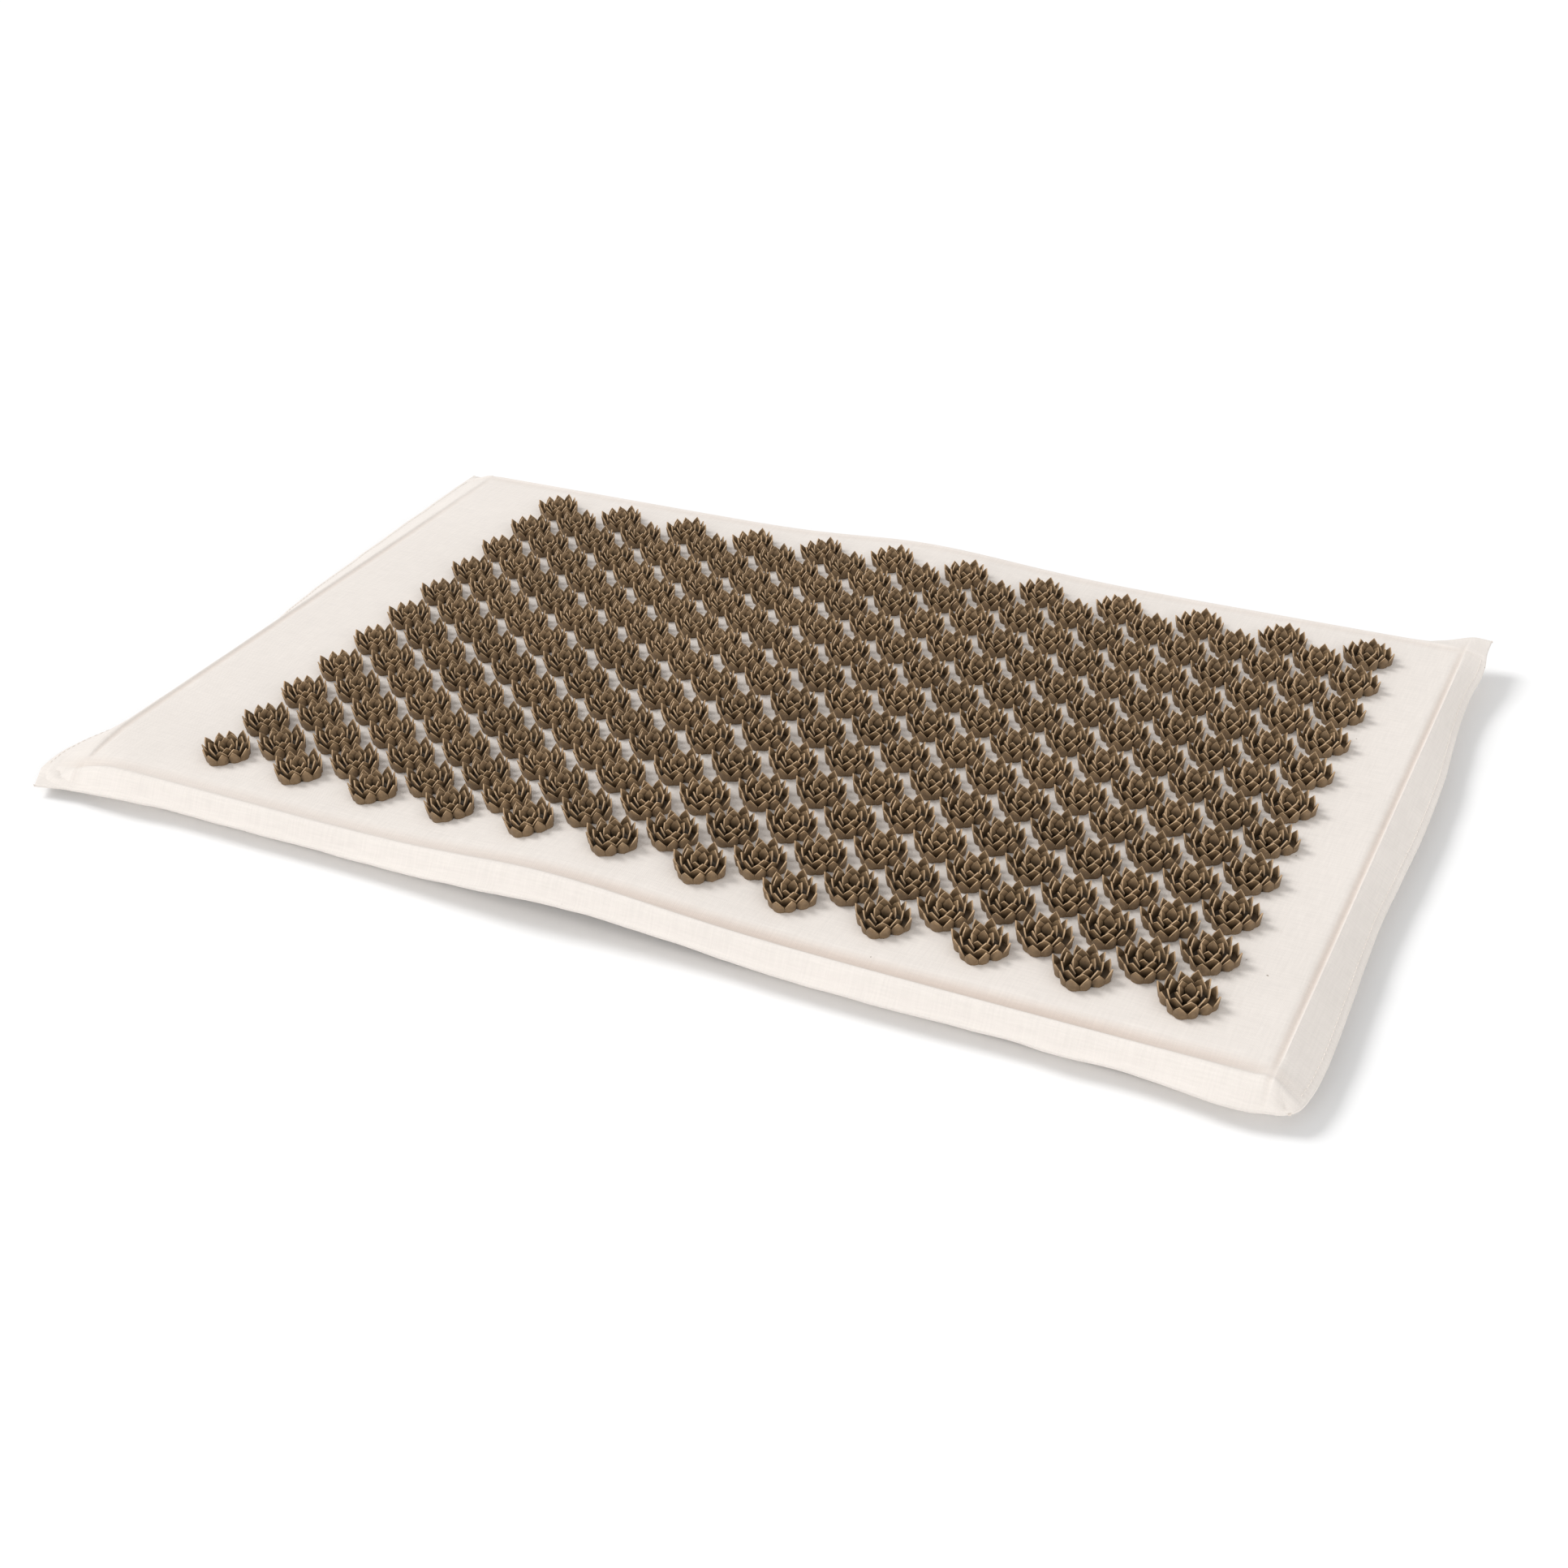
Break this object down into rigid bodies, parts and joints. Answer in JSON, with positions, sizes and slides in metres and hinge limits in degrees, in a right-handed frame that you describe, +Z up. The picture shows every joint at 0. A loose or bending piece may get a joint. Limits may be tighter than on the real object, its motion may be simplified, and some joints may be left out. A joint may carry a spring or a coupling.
{
  "type": "acupressure mat",
  "caption": "Flat rectangular therapy mat: a foam pad in a zipped natural cotton cover, with interleaved rows of pointed plastic lotus discs on its top.",
  "frame": {"origin": "middle of the flat underside of the foam and cover, where the mat lies on the floor", "axes": "+X along the length, away from the wide bare margin; +Y across the width, towards the side with the zip; +Z up, out of the side with the lotus discs"},
  "size_m": [0.7604, 0.4581, 0.0307],
  "materials": {
    "cover_cotton": "unbleached plain-weave cotton canvas with small dark flecks",
    "foam": "open-cell foam, inside the cover",
    "lotus_plastic": "matte olive-brown moulded plastic with paler worn edges",
    "zip_tape": "woven zip tape in the colour of the cover",
    "zip_coil": "pale nylon coil",
    "zip_metal": "dull nickel-plated zinc"
  },
  "bodies": {
    "mat": {"cover_bottom_panel": "cover_cotton", "cover_top_panel": "cover_cotton", "foam_core": "foam", "lotus_far_01": "lotus_plastic", "lotus_far_02": "lotus_plastic", "lotus_far_03": "lotus_plastic", "lotus_far_04": "lotus_plastic", "lotus_far_05": "lotus_plastic", "lotus_far_06": "lotus_plastic", "lotus_far_07": "lotus_plastic", "lotus_far_08": "lotus_plastic", "lotus_far_09": "lotus_plastic", "lotus_far_10": "lotus_plastic", "lotus_far_11": "lotus_plastic", "lotus_far_12": "lotus_plastic", "lotus_left_02": "lotus_plastic", "lotus_left_03": "lotus_plastic", "lotus_left_04": "lotus_plastic", "lotus_left_05": "lotus_plastic", "lotus_left_06": "lotus_plastic", "lotus_left_07": "lotus_plastic", "lotus_left_08": "lotus_plastic", "lotus_left_09": "lotus_plastic", "lotus_left_10": "lotus_plastic", "lotus_near_01": "lotus_plastic", "lotus_near_02": "lotus_plastic", "lotus_near_03": "lotus_plastic", "lotus_near_04": "lotus_plastic", "lotus_near_05": "lotus_plastic", "lotus_near_06": "lotus_plastic", "lotus_near_07": "lotus_plastic", "lotus_near_08": "lotus_plastic", "lotus_near_09": "lotus_plastic", "lotus_near_10": "lotus_plastic", "lotus_near_11": "lotus_plastic", "lotus_near_12": "lotus_plastic", "lotus_right_02": "lotus_plastic", "lotus_right_03": "lotus_plastic", "lotus_right_04": "lotus_plastic", "lotus_right_05": "lotus_plastic", "lotus_right_06": "lotus_plastic", "lotus_right_07": "lotus_plastic", "lotus_right_08": "lotus_plastic", "lotus_right_09": "lotus_plastic", "lotus_right_10": "lotus_plastic", "zip_coil_lower": "zip_coil", "zip_coil_upper": "zip_coil", "zip_stop_left": "zip_metal", "zip_stop_right": "zip_metal", "zip_tape_lower": "zip_tape", "zip_tape_upper": "zip_tape"},
    "zip_slider": {"zip_slider": "zip_metal"},
    "zip_pull": {"zip_pull_tab": "zip_metal"}
  },
  "joints": [
    {"name": "zip_slide", "type": "slide", "parent": "mat", "child": "zip_slider", "axis": [1, 0, 0], "range_m": [-0.5477, 0]},
    {"name": "pull_hinge", "type": "hinge", "parent": "zip_slider", "child": "zip_pull", "pos_m": [0.27385, 0.223, 0.0113], "axis": [0, 0, -1], "range_deg": [0, 180]}
  ]
}
